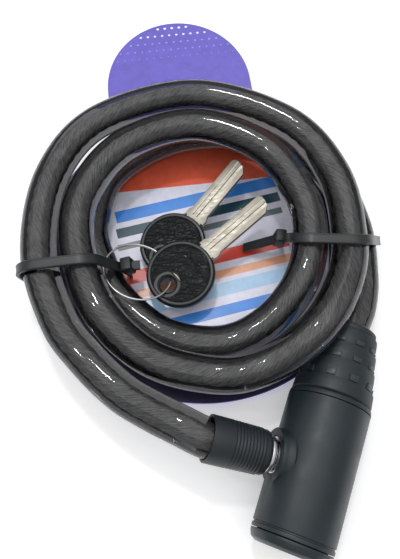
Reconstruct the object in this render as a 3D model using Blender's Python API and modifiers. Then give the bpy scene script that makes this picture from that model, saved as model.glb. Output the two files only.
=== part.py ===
"""A coiled cable lock for a bicycle, as it hangs in a shop.

The cable makes three turns on a backing card. One end is held in the lock's boot. The other
end carries a plug that goes into the side of the lock. Two ties hold the turns, and the left
one holds a ring with two keys.

The model is in metres, with +Z up. Driving dimensions are in millimetres, and mm() turns them
into metres. The card's disc is centred near the origin, and the lock lies at the near right.
"""
import math

import bmesh
import bpy
from mathutils import Matrix, Vector

# ---------------------------------------------------------------- driving dimensions, in mm
GAP = 0.3                      # clearance between neighbouring pieces
CUTTER_TWIST = 3.7             # degrees
FRAME_SHIFT = (-1.18, -1.24, -0.11)    # puts the origin under the middle, on the floor

CABLE_R = 6.0                  # smoked plastic jacket
CORE_R = 2.5                   # steel rope inside it
CORE_BORE_R = CORE_R + GAP

BODY_R_END, BODY_R_BOOT = 12.3, 12.9    # the housing widens a little towards the boot
BODY_BORE_R = 10.7
CASE_R = BODY_BORE_R - 0.4
END_Y, BOOT_Y, BOOT_TOP_Y = -25.6, 18.6, 45.0   # along the lock's axis from the plug's axis
CAP_Y = -22.0
LOCK_AT = (32.8, -79.6, 13.1)  # where the plug's axis meets the lock's axis
LOCK_HEADING = 70.0            # direction of the lock's axis on the table, degrees
LOCK_ROLL = 17.0               # the plug's side is rolled up by this much
PLUG_SKEW = 8.0                # the socket is this far off square to the housing

SHELL_R, ROTOR_R = 7.0, 5.0
WAFER_YS = (-21.6, -18.6, -15.6, -12.6)
CAM_E = 2.8                    # radius of the cam's drive pin
PIN_R, PIN_NECK_R = 4.0, 2.6
SLEEVE_R, SLEEVE_START, SLEEVE_END = 7.0, 15.9, 34.0

CARD_Z, CARD_T = 1.5, 0.5
CARD_R = 59.5
CARD_TILT = 6.9                # the card is turned a little to the left
TAB_U, TAB_V, TAB_W, TAB_TOP = -0.8, 76.0, 30.3, 34.3

TIE_W, TIE_T, TIE_GAP = 3.6, 1.2, 0.55
TIE_HEAD = (5.2, 4.8, 3.8)
# Each tie's plane, from outside to inside at the floor, and how far it leans across per mm up.
LEFT_TIE = ((-61.5, -16.8), (-25.0, -12.0), -0.16)
RIGHT_TIE = ((64.5, 1.8), (28.2, 2.9), 0.49)

KEY_R, KEY_T, KEY_HOLE_BACK = 12.0, 3.6, 5.9
KEY_TILT, KEY_SWING = -9.5, 6.0
RING_R, RING_WIRE = 11.8, 0.5
RING_AT = (-22.5, -16.2, 12.7)
RING_SLOPE = (-0.30, -0.27)    # rise of the ring's plane along X and along Y

# The cable's turns: angle clockwise from the left, radius from COIL_AT, height of the centre.
COIL_AT = (-3.2, 0.3)
TURNS = [
    (-56, 59.4, 20.8), (-40, 56.5, 20.6), (-13, 53.4, 20.6), (20, 53.3, 20.6), (50, 53.8, 20.6),
    (90, 52.6, 20.6), (130, 52.7, 20.6), (160, 52.6, 20.6), (188, 52.9, 21.0),
    (207, 54.4, 23.4), (226, 56.0, 25.4), (243, 56.2, 21.8), (260, 54.5, 17.4),
    (285, 50.4, 18.2), (312, 44.9, 20.4), (345, 40.5, 20.6), (375, 39.7, 20.6),
    (410, 39.1, 20.6), (450, 38.9, 20.6), (490, 38.3, 20.6), (525, 38.6, 20.6),
    (552, 40.2, 20.4), (575, 42.2, 19.0), (597, 43.2, 14.4), (618, 42.2, 9.8),
    (645, 39.2, 8.4), (675, 36.0, 8.4), (700, 35.2, 8.4), (725, 37.4, 8.3),
    (760, 40.9, 8.3), (800, 43.2, 8.3), (838, 49.2, 8.3), (870, 56.4, 8.3),
    (895, 58.4, 8.3), (915, 60.6, 9.0), (927, 62.6, 11.2),
]
# The free stretch between the plug and the first turn: hand-placed points of its centre.
LEAD = [(-7.0, -69.4, 23.2), (-15.0, -65.4, 22.0), (-25.0, -59.4, 21.0)]
SEAM_GAP = 0.4                 # between the free stretch and the tied turns, under the left tie


def mm(value):
    return value * 0.001


# ---------------------------------------------------------------- scene and materials
for old in list(bpy.data.objects):
    bpy.data.objects.remove(old)

parts = bpy.data.collections.new("cable_lock")
cutters = bpy.data.collections.new("cutters")
bpy.context.scene.collection.children.link(parts)
bpy.context.scene.collection.children.link(cutters)


def make_material(name, rgb, roughness, metallic=0.0):
    mat = bpy.data.materials.new(name)
    mat.use_nodes = True
    shader = mat.node_tree.nodes["Principled BSDF"]
    shader.inputs["Base Color"].default_value = (*rgb, 1.0)
    shader.inputs["Roughness"].default_value = roughness
    shader.inputs["Metallic"].default_value = metallic
    return mat


HOUSING = make_material("housing_plastic", (0.055, 0.065, 0.07), 0.45)
BOOT = make_material("boot_rubber", (0.06, 0.07, 0.075), 0.6)
JACKET = make_material("smoked_jacket", (0.02, 0.02, 0.022), 0.08)
STEEL = make_material("steel_rope", (0.55, 0.55, 0.56), 0.35, 1.0)
CHROME = make_material("plated_steel", (0.75, 0.75, 0.76), 0.15, 1.0)
ZINC = make_material("zinc_casting", (0.5, 0.5, 0.52), 0.45, 1.0)
BRASS = make_material("brass", (0.75, 0.58, 0.28), 0.3, 1.0)
NICKEL = make_material("nickel_key", (0.72, 0.69, 0.6), 0.3, 1.0)
KEY_PLASTIC = make_material("key_plastic", (0.012, 0.012, 0.014), 0.35)
NYLON = make_material("tie_nylon", (0.03, 0.035, 0.04), 0.4)
CARD = make_material("printed_card", (0.16, 0.13, 0.62), 0.5)


# ---------------------------------------------------------------- helpers
def add_empty(name, matrix, parent=None):
    empty = bpy.data.objects.new(name, None)
    parts.objects.link(empty)
    empty.parent = parent
    empty.matrix_local = matrix
    return empty


def place(obj, parent, matrix, mat, as_cutter=False):
    """Link obj, put it under its parent and give it a material, or make it a cutter."""
    (cutters if as_cutter else parts).objects.link(obj)
    obj.parent = parent
    obj.matrix_local = matrix
    if as_cutter:
        obj.hide_render = True
        obj.display_type = "WIRE"
    else:
        obj.data.materials.append(mat)
    return obj


def shade(mesh, angle=35):
    mesh.shade_smooth()
    mesh.set_sharp_from_angle(angle=math.radians(angle))


def turned(name, profile, mat, parent, matrix=Matrix(), steps=28, as_cutter=False):
    """A solid of revolution about local Z. The profile is (radius, along) in mm. It is a closed
    loop, or an open line whose two ends lie on the axis."""
    closed = profile[0][0] > 0 and profile[-1][0] > 0
    area = sum(a[0] * b[1] - b[0] * a[1] for a, b in zip(profile, profile[1:] + profile[:1]))
    points = profile if area < 0 else profile[::-1]
    mesh = bpy.data.meshes.new(name)
    bm = bmesh.new()
    verts = [bm.verts.new((mm(r), 0, mm(z))) for r, z in points]
    for a, b in zip(verts, verts[1:]):
        bm.edges.new((a, b))
    if closed:
        bm.edges.new((verts[-1], verts[0]))
    bm.to_mesh(mesh)
    bm.free()
    obj = place(bpy.data.objects.new(name, mesh), parent, matrix, mat, as_cutter)
    screw = obj.modifiers.new("turn", "SCREW")
    screw.steps = screw.render_steps = steps
    screw.use_merge_vertices = True
    screw.merge_threshold = 0.00001
    screw.use_smooth_shade = False
    return obj


def cylinder(name, radius, low, high, mat, parent, matrix=Matrix(), steps=20, as_cutter=True):
    """A plain cylinder. A cutter is turned a little, so that its edges miss the other piece's."""
    profile = [(0, high), (radius, high), (radius, low), (0, low)]
    if as_cutter:
        matrix = matrix @ Matrix.Rotation(math.radians(CUTTER_TWIST), 4, "Z")
    return turned(name, profile, mat, parent, matrix, steps, as_cutter)


def box(name, low, high, mat, parent, matrix=Matrix(), as_cutter=True):
    mesh = bpy.data.meshes.new(name)
    bm = bmesh.new()
    bmesh.ops.create_cube(bm, size=1)
    size = [mm(b - a) for a, b in zip(low, high)]
    middle = [mm((a + b) / 2) for a, b in zip(low, high)]
    bmesh.ops.scale(bm, vec=size, verts=bm.verts)
    bmesh.ops.translate(bm, vec=middle, verts=bm.verts)
    bm.to_mesh(mesh)
    bm.free()
    return place(bpy.data.objects.new(name, mesh), parent, matrix, mat, as_cutter)


def soften(obj, width):
    mod = obj.modifiers.new("soften", "BEVEL")
    mod.width = mm(width)
    mod.segments = 1
    mod.limit_method = "ANGLE"


def boolean(obj, other, operation="DIFFERENCE"):
    mod = obj.modifiers.new(operation.lower(), "BOOLEAN")
    mod.operation = operation
    mod.solver = "EXACT"
    mod.object = other


def flat_outline(name, outline, thickness, mat, parent, matrix=Matrix(), as_cutter=False):
    """A flat plate from a closed outline in mm, made as a filled curve and turned into a mesh."""
    curve = bpy.data.curves.new(name, "CURVE")
    curve.dimensions = "2D"
    curve.fill_mode = "BOTH"
    curve.extrude = mm(thickness) / 2
    line = curve.splines.new("POLY")
    line.points.add(len(outline) - 1)
    for point, (x, y) in zip(line.points, outline):
        point.co = (mm(x), mm(y), 0, 1)
    line.use_cyclic_u = True
    mesh = mesh_of_curve(name, curve)
    return place(bpy.data.objects.new(name, mesh), parent, matrix, mat, as_cutter)


def mesh_of_curve(name, curve):
    """The welded mesh of a curve, with the curve removed again."""
    guide = bpy.data.objects.new(name + "_curve", curve)
    cutters.objects.link(guide)
    bpy.context.view_layer.update()
    seen = guide.evaluated_get(bpy.context.evaluated_depsgraph_get())
    mesh = bpy.data.meshes.new_from_object(seen)
    bpy.data.objects.remove(guide)
    bm = bmesh.new()
    bm.from_mesh(mesh)
    bmesh.ops.remove_doubles(bm, verts=bm.verts, dist=0.00001)
    bm.to_mesh(mesh)
    bm.free()
    mesh.materials.clear()
    return mesh


def swept(name, points, radius, mat, parent=None, matrix=Matrix(), resolution=3, capped=True):
    """A round bar along points in mm. Without caps it is an open tube, which becomes a mesh."""
    curve = bpy.data.curves.new(name, "CURVE")
    curve.dimensions = "3D"
    curve.bevel_depth = mm(radius)
    curve.bevel_resolution = resolution
    curve.use_fill_caps = capped
    line = curve.splines.new("POLY")
    line.points.add(len(points) - 1)
    for point, co in zip(line.points, points):
        point.co = (*[mm(c) for c in co], 1)
    if not capped:
        curve = mesh_of_curve(name, curve)
    return place(bpy.data.objects.new(name, curve), parent, matrix, mat)


def hollow(name, points, radius, wall, mat, parent, resolution=3):
    """A pipe along points: an open tube thickened inwards."""
    obj = swept(name, points, radius, mat, parent, resolution=resolution, capped=False)
    mod = obj.modifiers.new("wall", "SOLIDIFY")
    mod.thickness = mm(wall)
    mod.offset = -1
    mod.use_even_offset = False
    return obj


def smooth_route(points, per_span):
    """Points on a Catmull-Rom curve through all of the given points."""
    ends = [tuple(2 * a - b for a, b in zip(points[0], points[1]))]
    ends.append(tuple(2 * a - b for a, b in zip(points[-1], points[-2])))
    p = [ends[0], *points, ends[1]]
    out = []
    for p0, p1, p2, p3 in zip(p, p[1:], p[2:], p[3:]):
        for k in range(per_span):
            t = k / per_span
            out.append(tuple(
                0.5 * (2 * b + (c - a) * t + (2 * a - 5 * b + 4 * c - d) * t * t
                       + (3 * b - a - 3 * c + d) * t ** 3)
                for a, b, c, d in zip(p0, p1, p2, p3)))
    out.append(tuple(points[-1]))
    return out


def turn_by(axis, degrees):
    return Matrix.Rotation(math.radians(degrees), 4, axis)


def shift(x, y, z):
    return Matrix.Translation((mm(x), mm(y), mm(z)))


# ---------------------------------------------------------------- frames
root = add_empty("assembly", shift(*FRAME_SHIFT))
lock_matrix = shift(*LOCK_AT) @ turn_by("Z", LOCK_HEADING - 90) @ turn_by("Y", LOCK_ROLL)
lock = add_empty("lock_axis", lock_matrix, root)          # local Y runs towards the boot
plug_matrix = turn_by("Z", PLUG_SKEW) @ turn_by("Y", -90)
plug = add_empty("plug_axis", plug_matrix, lock)          # local Z runs out along the plug
ALONG_Y = turn_by("X", -90)                               # turned pieces of the lock lie on Y
rotor_axis = add_empty("rotor_axis", Matrix(), lock)


# ---------------------------------------------------------------- lock housing
def make_housing():
    groove = 0.35
    outer = [(0, BOOT_Y - GAP), (BODY_R_BOOT - 0.3, BOOT_Y - GAP), (BODY_R_BOOT, BOOT_Y - 0.7),
             (BODY_R_END + 0.02, -20.2), (BODY_R_END - groove, -20.4),
             (BODY_R_END - groove, -20.9), (BODY_R_END, -21.1), (BODY_R_END, CAP_Y), (0, CAP_Y)]
    shell = turned("housing_shell", outer, HOUSING, lock, ALONG_Y, steps=32)
    boss = cylinder("socket_boss", 8.1, 4.0, 13.3, None, plug, steps=28)
    soften(boss, 0.5)
    bore = cylinder("housing_bore", BODY_BORE_R, -30, 30, None, lock, ALONG_Y, steps=28)
    socket = cylinder("socket_bore", 5.7, 2.0, 16.0, None, plug, steps=24)
    boolean(shell, boss, "UNION")
    boolean(shell, bore)
    boolean(shell, socket)


def make_boot():
    """The stepped strain relief: rings with narrower bands between them."""
    rings = [(BOOT_Y, BOOT_Y + 0.6, 12.95), (20.6, 24.8, 12.4), (28.0, 31.2, 11.25),
             (33.8, 36.6, 10.4), (39.4, 42.0, 9.6)]
    outline = []
    for low, high, radius in rings:
        outline += [(radius - 0.1, low), (radius, low + 0.3), (radius - 0.3, high)]
        outline += [(radius - 0.95, high + 0.1)]
    outline += [(9.0, 42.9), (8.8, 44.1), (7.7, BOOT_TOP_Y)]
    neck = [(6.4, BOOT_TOP_Y), (6.4, 17.95), (BODY_BORE_R - GAP, 17.95),
            (BODY_BORE_R - GAP, BOOT_Y)]
    turned("cable_boot", outline + neck, BOOT, lock, ALONG_Y, steps=24)


def make_end_cap():
    outline = [(BODY_R_END - 0.1, CAP_Y - GAP), (BODY_R_END - 0.15, END_Y + 2.6),
               (BODY_R_END - 0.8, END_Y + 0.9), (BODY_R_END - 2.2, END_Y),
               (SHELL_R + GAP, END_Y), (SHELL_R + GAP, -18.0),
               (BODY_BORE_R - GAP, -18.0), (BODY_BORE_R - GAP, CAP_Y - GAP)]
    turned("end_cap", outline, HOUSING, lock, ALONG_Y, steps=28)


def make_case():
    """The zinc casting that holds the key cylinder, the bolt, the plug's pin and the crimp."""
    case = cylinder("lock_case", CASE_R, -17.6, 17.6, ZINC, lock, ALONG_Y, 32, as_cutter=False)
    holes = [
        cylinder("case_cylinder_bore", SHELL_R + GAP, -19, -8.3, None, lock, ALONG_Y, 28),
        cylinder("case_cam_chamber", 6.6, -8.6, -5.9, None, lock, ALONG_Y, 24),
        box("case_bolt_chamber", (-9.8, -6.9, -5.4), (4.7, 5.2, 1.7), None, plug),
        cylinder("case_pin_bore", PIN_R + 0.25, -6.0, 14.0, None, plug, steps=24),
        cylinder("case_crimp_bore", 5.5, 7.7, 19.0, None, lock, ALONG_Y, 24),
        cylinder("case_crimp_pin_hole", 1.6, -12, 12, None, lock, shift(0, 10.3, 0), 14),
        cylinder("case_cylinder_pin_hole", 1.3, 5.0, 12, None, lock,
                 shift(0, -12.6, 0) @ turn_by("Y", 45), 12),
    ]
    for hole in holes:
        boolean(case, hole)
    cylinder("crimp_pin", 1.3, -9.7, 9.7, CHROME, lock, shift(0, 10.3, 0), 12, as_cutter=False)
    cylinder("cylinder_pin", 1.0, 6.1, 9.9, CHROME, lock,
             shift(0, -12.6, 0) @ turn_by("Y", 45), 10, as_cutter=False)


# ---------------------------------------------------------------- key cylinder and bolt
def make_cylinder():
    shell = turned("cylinder_shell",
                   [(SHELL_R, -8.7), (SHELL_R, -25.2), (4.45, -25.2), (4.45, -24.5),
                    (ROTOR_R + 0.12, -24.5), (ROTOR_R + 0.12, -8.7)],
                   BRASS, lock, ALONG_Y, steps=32)
    for quarter in range(2):
        groove = box(f"wafer_groove_{quarter}", (-2.7, -23.4, -6.3), (2.7, -10.6, 6.3), None,
                     lock, turn_by("Y", 90 * quarter))
        boolean(shell, groove)
    pin_hole = cylinder("shell_pin_hole", 1.3, 5.7, 12, None, lock,
                        shift(0, -12.6, 0) @ turn_by("Y", 45), 12)
    boolean(shell, pin_hole)

    rotor = turned("rotor",
                   [(0, -7.2), (2.6, -7.2), (2.6, -9.0), (ROTOR_R, -9.0), (ROTOR_R, -24.2),
                    (4.1, -24.2), (4.1, -25.0), (0, -25.0)],
                   BRASS, rotor_axis, ALONG_Y, steps=32)
    boolean(rotor, box("keyway", (-1.15, -26, -3.5), (1.15, -10.2, 3.5), None, rotor_axis))
    for number, y in enumerate(WAFER_YS, 1):
        slot = box(f"wafer_slot_{number}", (-2.7, y - 0.7, -5.6), (2.7, y + 0.7, 5.6), None,
                   rotor_axis)
        boolean(rotor, slot)
        wafer = box(f"wafer_{number}", (-2.4, y - 0.4, -4.3), (2.4, y + 0.4, 4.3), BRASS,
                    rotor_axis, as_cutter=False)
        boolean(wafer, box(f"wafer_window_{number}", (-1.3, y - 1, -3.5), (1.3, y + 1, 3.5),
                           None, rotor_axis))

    clip = turned("rotor_clip", [(2.9, -7.8), (6.2, -7.8), (6.2, -8.4), (2.9, -8.4)],
                  CHROME, rotor_axis, ALONG_Y, steps=24)
    boolean(clip, box("clip_gap", (-1.6, -9, 0), (1.6, -7, 8), None, rotor_axis))

    cam = turned("drive_cam",
                 [(0, -6.3), (4.6, -6.3), (4.6, -7.5), (2.9, -7.5), (2.9, -6.9), (0, -6.9)],
                 ZINC, rotor_axis, ALONG_Y, steps=24)
    drive_at = (CAM_E * math.cos(math.radians(45)), 0, -CAM_E * math.sin(math.radians(45)))
    drive = cylinder("cam_drive_pin", 1.0, -6.7, -4.4, None, rotor_axis,
                     shift(*drive_at) @ ALONG_Y, 14)
    boolean(cam, drive, "UNION")


def make_bolt():
    """A fork that rises round the neck of the plug's pin. Its arm has a slot for the cam."""
    bolt = box("locking_bolt", (-9.3, -5.9, -1.3), (-4.3, 4.9, 1.3), ZINC, plug, as_cutter=False)
    pin = CAM_E * math.sin(math.radians(45))
    arm = box("bolt_arm", (-0.9, -5.9, -6.2), (4.7, -4.75, 0.3), None, lock)
    slot = box("bolt_slot", (pin - 1.35, -7, -pin - 1.15), (CAM_E + 1.35, -4, -pin + 1.15),
               None, lock)
    throat = box("bolt_throat", (-6.95, -2.9, -2), (-3, 2.9, 2), None, plug)
    boolean(bolt, arm, "UNION")
    boolean(bolt, slot)
    boolean(bolt, throat)


def make_lock_fittings():
    turned("entry_bushing", [(5.4, 13.1), (5.4, 11.5), (4.3, 11.5), (4.3, 12.6), (4.7, 13.1)],
           CHROME, plug, steps=24)
    crimp = turned("cable_crimp", [(0, 8.0), (5.2, 8.0), (5.2, 17.4), (CORE_BORE_R, 17.4),
                                   (CORE_BORE_R, 13.0), (0, 13.0)],
                   ZINC, lock, ALONG_Y, steps=24)
    boolean(crimp, cylinder("crimp_cross_hole", 1.6, -8, 8, None, lock, shift(0, 10.3, 0), 14))


# ---------------------------------------------------------------- plug end
def make_plug():
    ribs_from, ribs_to, pitch = 18.3, 28.3, 1.25
    outer = [(6.0, SLEEVE_START), (6.5, SLEEVE_START + 0.5)]
    for k in range(round((ribs_to - ribs_from) / pitch)):
        at = ribs_from + k * pitch
        outer += [(6.5 + 0.03 * k, at), (6.85 + 0.02 * k, at + 0.6)]
    outer += [(SLEEVE_R, ribs_to), (SLEEVE_R + 0.05, SLEEVE_END)]
    inner = [(CABLE_R + GAP, SLEEVE_END), (CABLE_R + GAP, 25.3), (5.55, 25.3), (5.55, 17.2),
             (PIN_R + 0.35, 17.2), (PIN_R + 0.35, SLEEVE_START)]
    turned("plug_sleeve", outer + inner, BOOT, plug, steps=22)
    turned("plug_collar", [(5.0, 15.6), (5.4, 15.2), (5.4, 14.2), (4.9, 13.65),
                           (PIN_R + GAP, 13.65), (PIN_R + GAP, 15.6)], CHROME, plug, steps=24)
    turned("latch_pin",
           [(0, -4.6), (2.2, -4.6), (PIN_R, -2.6), (PIN_R, -1.7), (PIN_NECK_R, -1.7),
            (PIN_NECK_R, 1.7), (PIN_R, 1.7), (PIN_R, 17.0), (3.0, 17.0), (3.0, 20.2), (0, 20.2)],
           CHROME, plug, steps=24)
    turned("plug_crimp",
           [(0, 21.4), (CORE_BORE_R, 21.4), (CORE_BORE_R, 25.0), (5.2, 25.0), (5.2, 17.6),
            (3.3, 17.6), (3.3, 20.6), (0, 20.6)],
           ZINC, plug, steps=24)


# ---------------------------------------------------------------- cable
def on_plug_axis(r):
    return tuple(c / mm(1) for c in (lock_matrix @ plug_matrix @ Vector((0, 0, mm(r)))))


def on_lock_axis(y):
    return tuple(c / mm(1) for c in (lock_matrix @ Vector((0, mm(y), 0))))


def coil_point(angle, radius, height):
    a = math.radians(angle)
    return (COIL_AT[0] - radius * math.cos(a), COIL_AT[1] + radius * math.sin(a), height)


def cable_route():
    """The whole centre line, from inside the plug to inside the boot."""
    leaving = [on_plug_axis(r) for r in (25.6, 30.0, 34.5)]
    turns = [coil_point(*turn) for turn in TURNS]
    into_boot = [on_lock_axis(y) for y in (45.5, 38.0, 30.0, 20.0)]
    return smooth_route(leaving + LEAD + turns + into_boot, 2)


def seam_side(point):
    """How far a point lies past the plane of the left tie."""
    (x0, y0), (x1, y1), lean = LEFT_TIE
    across = (x1 - x0) * (point[1] - y0) - (y1 - y0) * (point[0] - x0)
    return across / math.dist((x0, y0), (x1, y1)) - lean * point[2]


def split_route():
    """The free stretch and the tied turns, which meet square to the cable under the left tie."""
    route = cable_route()
    last = next(i for i, p in enumerate(route) if p[0] < -40 and seam_side(p) > 0) - 1
    a, b = Vector(route[last]), Vector(route[last + 1])
    seam = a.lerp(b, seam_side(a) / (seam_side(a) - seam_side(b)))
    forward = (b - a).normalized()
    gap, straight = forward * SEAM_GAP / 2, forward * 4.5
    before = [p for p in route[:last + 1] if math.dist(p, seam) > 7]
    after = [p for p in route[last + 1:] if math.dist(p, seam) > 7]
    lead = before + [tuple(seam - straight), tuple(seam - gap)]
    return lead, [tuple(seam + gap), tuple(seam + straight)] + after


def make_cable():
    wall = CABLE_R - CORE_BORE_R
    lead, coil = split_route()
    hollow("cable_jacket_coil", coil, CABLE_R, wall, JACKET, root, resolution=2)
    swept("steel_core_coil", coil + [on_lock_axis(13.4)], CORE_R, STEEL, root, resolution=2)
    hollow("cable_jacket_lead", lead, CABLE_R, wall, JACKET, root, resolution=2)
    swept("steel_core_lead", [on_plug_axis(21.8)] + lead, CORE_R, STEEL, root, resolution=2)


# ---------------------------------------------------------------- ties
def wrap(circles, step=12):
    """The tight loop round circles (s, z, radius) in mm, as the outermost points by direction."""
    loop = []
    for k in range(0, 360, step):
        s, z = math.cos(math.radians(k)), math.sin(math.radians(k))
        best = max(circles, key=lambda c: c[0] * s + c[1] * z + c[2])
        point = (best[0] + best[2] * s, best[1] + best[2] * z)
        if not loop or math.dist(point, loop[-1]) > 0.1 and math.dist(point, loop[0]) > 0.1:
            loop.append(point)
    return loop


def make_tie(name, plane, edges, head_at, head_slope, tail):
    """A tie in a leaning plane, drawn tight round the cables that cross it and round edges."""
    start, end, lean = plane
    heading = math.atan2(end[1] - start[1], end[0] - start[0])
    matrix = shift(*start, 0) @ Matrix.Rotation(heading, 4, "Z")
    loop = wrap(crossings(cable_route(), start, end, lean) + edges)
    mesh = bpy.data.meshes.new(name)
    bm = bmesh.new()
    rows = [[bm.verts.new((mm(s), mm(side * TIE_W / 2 + lean * z), mm(z))) for side in (-1, 1)]
            for s, z in loop]
    for a, b in zip(rows, rows[1:] + rows[:1]):
        bm.faces.new((a[0], a[1], b[1], b[0]))
    bm.to_mesh(mesh)
    bm.free()
    tie = place(bpy.data.objects.new(name, mesh), root, matrix, NYLON)
    wall = tie.modifiers.new("wall", "SOLIDIFY")
    wall.thickness = mm(TIE_T)
    wall.offset = 0
    head_place = matrix @ shift(head_at[0], lean * head_at[1], head_at[1])
    head_matrix = head_place @ turn_by("Y", head_slope)
    half = [d / 2 for d in TIE_HEAD]
    head = box(name + "_head", [-d for d in half], half, None, root, head_matrix)
    boolean(tie, head, "UNION")
    stub = box(name + "_tail", (0, -TIE_W / 2, -TIE_T / 2), (tail[0], TIE_W / 2, TIE_T / 2),
               None, root, head_matrix @ turn_by("Y", tail[1]))
    boolean(tie, stub, "UNION")
    return tie


def crossings(route, start, end, lean):
    """Circles (s, z, radius) round the cable where it passes through the plane of a tie."""
    run = Vector((end[0] - start[0], end[1] - start[1], 0)).normalized()
    level = Vector((-run.y, run.x, 0))
    across = level - Vector((0, 0, lean))
    found = []
    for a, b in zip(route, route[1:]):
        a, b = Vector(a) - Vector((*start, 0)), Vector(b) - Vector((*start, 0))
        before, after = a.dot(across), b.dot(across)
        if before * after > 0:
            continue
        at = a.lerp(b, before / (before - after))
        along = (b - a).normalized()
        skew = abs(lean * along.dot(run))
        slant = (CABLE_R + TIE_GAP) * (1 + skew / 2) / abs(along.dot(level))
        if -10 < at.dot(run) < 50:
            found.append((at.dot(run), at.z, slant + TIE_T / 2))
    return found


def make_ties():
    edges = [(1.5, 0.6, 0.0), (35.6, 0.6, 0.0), (35.4, 4.0, 0.0)]
    make_tie("cable_tie_left", LEFT_TIE, edges, (35.5, 13.2), 72, (4.6, -62))
    edges = [(1.6, 0.6, 0.0), (36.4, 0.6, 0.0), (36.2, 4.0, 0.0)]
    make_tie("cable_tie_right", RIGHT_TIE, edges, (37.2, 12.6), 80, (15.0, -44))


# ---------------------------------------------------------------- card
def make_card():
    right, left = TAB_U + TAB_W, TAB_U - TAB_W
    a0 = math.atan2(math.sqrt(CARD_R ** 2 - right ** 2), right)
    a1 = math.atan2(math.sqrt(CARD_R ** 2 - left ** 2), left)
    arc, count = [], 44
    span = a1 - a0 - 2 * math.pi
    for k in range(count + 1):
        a = a0 + span * k / count
        arc.append((CARD_R * math.cos(a), CARD_R * math.sin(a)))
    top = []
    for k in range(25):
        a = math.pi * (1 - k / 24)
        top.append((TAB_U + TAB_W * math.cos(a), TAB_V + TAB_TOP * math.sin(a)))
    matrix = shift(0, 0, CARD_Z + CARD_T / 2) @ turn_by("Z", CARD_TILT)
    card = flat_outline("backing_card", arc + top, CARD_T, CARD, root, matrix)
    boolean(card, cylinder("card_hole", 2.0, -3, 3, None, root, matrix @ shift(0, 37.6, 0), 16))
    for name, at, heading in (("left", (-26.2, -12.4), 7.5), ("right", (27.9, 2.2), -1.7)):
        boolean(card, box(f"card_slot_{name}", (-2.2, -2.6, -3), (2.2, 2.6, 5), None, root,
                          shift(*at, 0) @ turn_by("Z", heading)))


# ---------------------------------------------------------------- keys and ring
pile = add_empty("key_pile", shift(-13.7, -14.3, 9.0)
                 @ Matrix.Rotation(math.radians(KEY_TILT), 4, Vector((-1, 1, 0)).normalized()),
                 root)
KEYS = (("key_1", (1.7, -5.9, 2.0), 40.0), ("key_2", (-1.0, 5.6, -2.0), 50.3))


def ring_matrix():
    """The ring's plane rises along X and Y by RING_SLOPE."""
    normal = Vector((-RING_SLOPE[0], -RING_SLOPE[1], 1)).normalized()
    return shift(*RING_AT) @ normal.to_track_quat("Z", "Y").to_matrix().to_4x4()


def torus(name, wire, mat, parent, matrix, sides=6, steps=32, as_cutter=False):
    profile = [(RING_R + wire * math.cos(2 * math.pi * k / sides),
                wire * math.sin(2 * math.pi * k / sides)) for k in range(sides)]
    return turned(name, profile, mat, parent, matrix, steps, as_cutter)


def make_keys():
    for name, at, heading in KEYS:
        hinge = add_empty(name + "_hinge", shift(*at) @ turn_by("Z", heading), pile)
        centre = shift(KEY_HOLE_BACK, 0, 0)
        head = cylinder(name + "_head", KEY_R, -KEY_T / 2, KEY_T / 2, KEY_PLASTIC, hinge,
                        centre, 26, as_cutter=False)
        soften(head, 0.8)
        boolean(head, cylinder(name + "_hole", 2.6, -5, 5, None, hinge, Matrix(), 16))
        for side in (0, 180):
            cone = turned(f"{name}_dish_{side}", [(0, 3.0), (5.6, 3.0), (2.3, 0.4), (0, 0.4)],
                          None, hinge, turn_by("X", side), 16, as_cutter=True)
            boolean(head, cone)
        boolean(head, box(name + "_pocket", (2.7, -3.4, -1.3), (19, 3.4, 1.3), None, hinge,
                          shift(1.0, 0, 0)))
        for swing in (-KEY_SWING, 0, KEY_SWING):
            local = (hinge_world(name).inverted() @ ring_matrix())
            relief = torus(f"{name}_relief_{swing}", RING_WIRE + 0.45, None, hinge,
                           turn_by("Z", swing) @ local, 6, 24, as_cutter=True)
            boolean(head, relief)
        outline = [(4.0, -3.1), (17.9, -3.1), (17.9, -4.05), (20.2, -4.05), (21.2, -3.35),
                   (42.2, -3.35), (44.4, -1.7), (45.2, 0.2), (45.6, 2.0), (44.2, 3.35),
                   (21.2, 3.35), (20.2, 4.05), (17.9, 4.05), (17.9, 3.1), (4.0, 3.1)]
        blade = flat_outline(name + "_blade", outline, 2.0, NICKEL, hinge)
        boolean(blade, box(name + "_groove_top", (18.4, -0.9, 0.55), (52, 0.4, 3), None, hinge))
        boolean(blade, box(name + "_groove_low", (18.4, -0.4, -3), (52, 0.9, -0.55), None, hinge))


def hinge_world(name):
    at, heading = next((a, h) for n, a, h in KEYS if n == name)
    return pile.matrix_local @ shift(*at) @ turn_by("Z", heading)


make_housing()
make_boot()
make_end_cap()
make_case()
make_cylinder()
make_bolt()
make_lock_fittings()
make_plug()
make_cable()
make_ties()
make_card()
make_keys()
torus("key_ring", RING_WIRE, CHROME, root, ring_matrix())
for piece in parts.objects:
    if piece.type == "MESH":
        shade(piece.data)
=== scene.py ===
"""The looks of the coiled cable lock: fine meshes and procedural materials round the CAD frame."""
import math

import bmesh
import bpy
from mathutils import Matrix, Vector


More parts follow.
